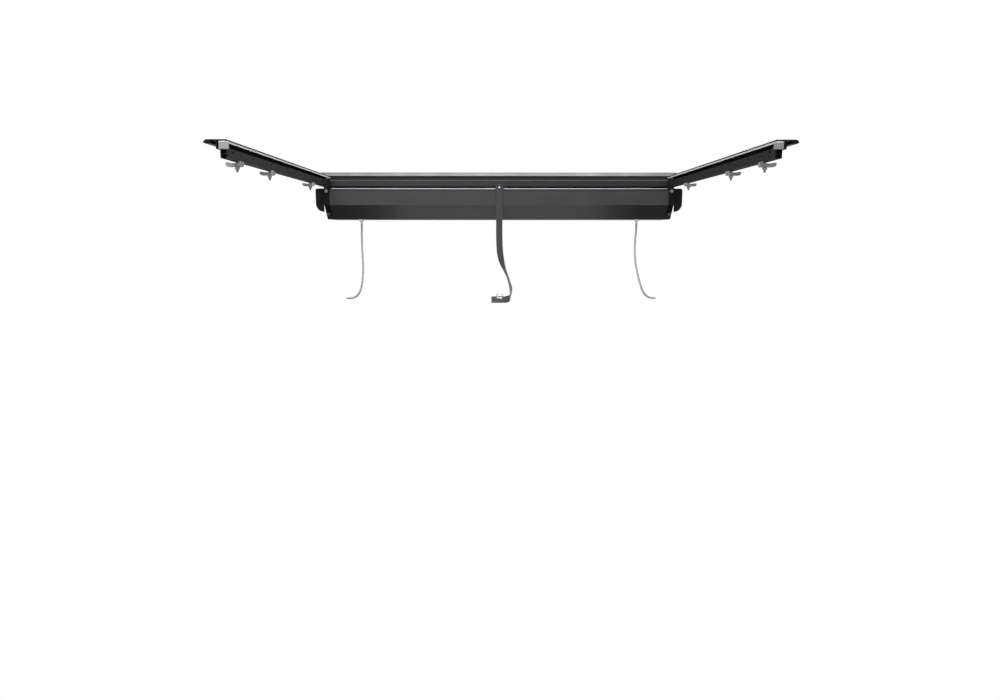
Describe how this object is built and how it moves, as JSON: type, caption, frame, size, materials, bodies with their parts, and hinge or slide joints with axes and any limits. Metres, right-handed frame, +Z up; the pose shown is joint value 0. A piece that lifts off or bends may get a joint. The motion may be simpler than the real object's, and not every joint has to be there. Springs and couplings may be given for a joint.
{
  "type": "tonneau cover",
  "caption": "Roll-up slatted tonneau cover for a pickup bed, shown open: two clamp-on side rails, a front canister with the wound slats, a lead bar with a pull strap, and drain tubes.",
  "frame": {"origin": "middle of the canister's front seat, where it rests on the bulkhead cap; z = 0 is the top of the bed caps", "axes": "+X to the right side, +Y forwards to the cab, +Z up"},
  "size_m": [1.72, 1.708, 0.5998],
  "materials": {
    "powder_coat": "satin black powder-coated aluminium",
    "rear_panel": "satin black powder-coated aluminium sheet",
    "slat": "matte black powder-coated aluminium slats",
    "bright_edge": "bright satin aluminium edge",
    "glide": "pale low-friction polymer strip",
    "end_block": "sandblasted aluminium",
    "cast": "cast aluminium, tumbled",
    "zinc": "zinc-plated steel",
    "rubber": "matte black EPDM rubber",
    "track": "UHMW polyethylene",
    "moulding": "black glass-filled nylon",
    "steel_black": "black powder-coated steel",
    "webbing": "woven black nylon webbing",
    "vinyl": "clear vinyl tube, slightly cloudy",
    "fitting": "white nylon"
  },
  "bodies": {
    "frame": {"rail_left": "powder_coat", "rail_right": "powder_coat", "rail_strip_left": "glide", "rail_strip_right": "glide", "rail_seal_left": "rubber", "rail_seal_right": "rubber", "rail_end_cap_left": "end_block", "rail_end_cap_right": "end_block", "clamp_left_1": "cast", "clamp_left_2": "cast", "clamp_left_3": "cast", "clamp_right_1": "cast", "clamp_right_2": "cast", "clamp_right_3": "cast", "clamp_bolts": "zinc", "clamp_nuts": "zinc", "canister_front_panel": "powder_coat", "canister_rear_panel": "rear_panel", "canister_bottom_tray": "powder_coat", "canister_lip": "bright_edge", "canister_end_left": "powder_coat", "canister_end_right": "powder_coat", "spiral_track_left": "track", "spiral_track_right": "track", "corner_bracket_left": "steel_black", "corner_bracket_right": "steel_black", "bracket_bolts": "zinc", "lid": "powder_coat", "lid_end_cap_left": "moulding", "lid_end_cap_right": "moulding", "lid_wiper": "rubber", "lid_screws": "zinc", "stored_slats": "slat", "slat_guides": "track", "drain_fittings": "fitting", "drain_tube_left": "vinyl", "drain_tube_right": "vinyl"},
    "cover": {"lead_bar": "powder_coat", "bar_seal": "rubber", "bar_carriage_left": "moulding", "bar_carriage_right": "moulding", "roller_axles": "zinc", "lock_cylinder": "zinc", "strap_rivet": "zinc", "pull_strap": "webbing", "strap_ring": "zinc", "curtain_section_1": "slat"},
    "lock_cam": {"lock_cam": "zinc"},
    "latch_rod_left": {"latch_rod_left": "zinc"},
    "latch_rod_right": {"latch_rod_right": "zinc"},
    "roller_left_1": {"roller_left_1": "track"},
    "roller_left_2": {"roller_left_2": "track"},
    "roller_right_1": {"roller_right_1": "track"},
    "roller_right_2": {"roller_right_2": "track"},
    "section_2": {"curtain_section_2": "slat"},
    "section_3": {"curtain_section_3": "slat"},
    "section_4": {"curtain_section_4": "slat"},
    "section_5": {"curtain_section_5": "slat"},
    "section_6": {"curtain_section_6": "slat"},
    "section_7": {"curtain_section_7": "slat"}
  },
  "joints": [
    {"name": "cover_slide", "type": "slide", "parent": "frame", "child": "cover", "axis": [0, -1, 0], "range_m": [0, 1.39]},
    {"name": "lock_turn", "type": "hinge", "parent": "cover", "child": "lock_cam", "pos_m": [0, -0.25747, -0.01], "axis": [0, 0, -1], "range_deg": [0, 90]},
    {"name": "latch_left_slide", "type": "slide", "parent": "cover", "child": "latch_rod_left", "axis": [-1, 0, 0], "range_m": [0, 0.012]},
    {"name": "latch_right_slide", "type": "slide", "parent": "cover", "child": "latch_rod_right", "axis": [1, 0, 0], "range_m": [0, 0.012]},
    {"name": "roller_left_1_spin", "type": "hinge", "parent": "cover", "child": "roller_left_1", "pos_m": [-0.8084, -0.27297, -0.0025], "axis": [1, 0, 0], "continuous": true},
    {"name": "roller_left_2_spin", "type": "hinge", "parent": "cover", "child": "roller_left_2", "pos_m": [-0.8084, -0.24297, -0.0025], "axis": [1, 0, 0], "continuous": true},
    {"name": "roller_right_1_spin", "type": "hinge", "parent": "cover", "child": "roller_right_1", "pos_m": [0.8084, -0.27297, -0.0025], "axis": [1, 0, 0], "continuous": true},
    {"name": "roller_right_2_spin", "type": "hinge", "parent": "cover", "child": "roller_right_2", "pos_m": [0.8084, -0.24297, -0.0025], "axis": [1, 0, 0], "continuous": true},
    {"name": "section_2_slide", "type": "slide", "parent": "frame", "child": "section_2", "axis": [0, -1, 0], "range_m": [0, 1.1916]},
    {"name": "section_3_slide", "type": "slide", "parent": "frame", "child": "section_3", "axis": [0, -1, 0], "range_m": [0, 0.993]},
    {"name": "section_4_slide", "type": "slide", "parent": "frame", "child": "section_4", "axis": [0, -1, 0], "range_m": [0, 0.7944]},
    {"name": "section_5_slide", "type": "slide", "parent": "frame", "child": "section_5", "axis": [0, -1, 0], "range_m": [0, 0.5959]},
    {"name": "section_6_slide", "type": "slide", "parent": "frame", "child": "section_6", "axis": [0, -1, 0], "range_m": [0, 0.3973]},
    {"name": "section_7_slide", "type": "slide", "parent": "frame", "child": "section_7", "axis": [0, -1, 0], "range_m": [0, 0.1987]}
  ],
  "couplings": [
    {"joint": "lock_turn", "follows": "latch_left_slide", "rad_per_m": 130.89},
    {"joint": "latch_right_slide", "follows": "latch_left_slide", "ratio": 1},
    {"joint": "roller_left_1_spin", "follows": "cover_slide", "rad_per_m": 108.7},
    {"joint": "roller_left_2_spin", "follows": "cover_slide", "rad_per_m": 108.7},
    {"joint": "roller_right_1_spin", "follows": "cover_slide", "rad_per_m": 108.7},
    {"joint": "roller_right_2_spin", "follows": "cover_slide", "rad_per_m": 108.7},
    {"joint": "section_2_slide", "follows": "cover_slide", "ratio": 0.85714},
    {"joint": "section_3_slide", "follows": "cover_slide", "ratio": 0.71429},
    {"joint": "section_4_slide", "follows": "cover_slide", "ratio": 0.57143},
    {"joint": "section_5_slide", "follows": "cover_slide", "ratio": 0.42857},
    {"joint": "section_6_slide", "follows": "cover_slide", "ratio": 0.28571},
    {"joint": "section_7_slide", "follows": "cover_slide", "ratio": 0.14286}
  ]
}
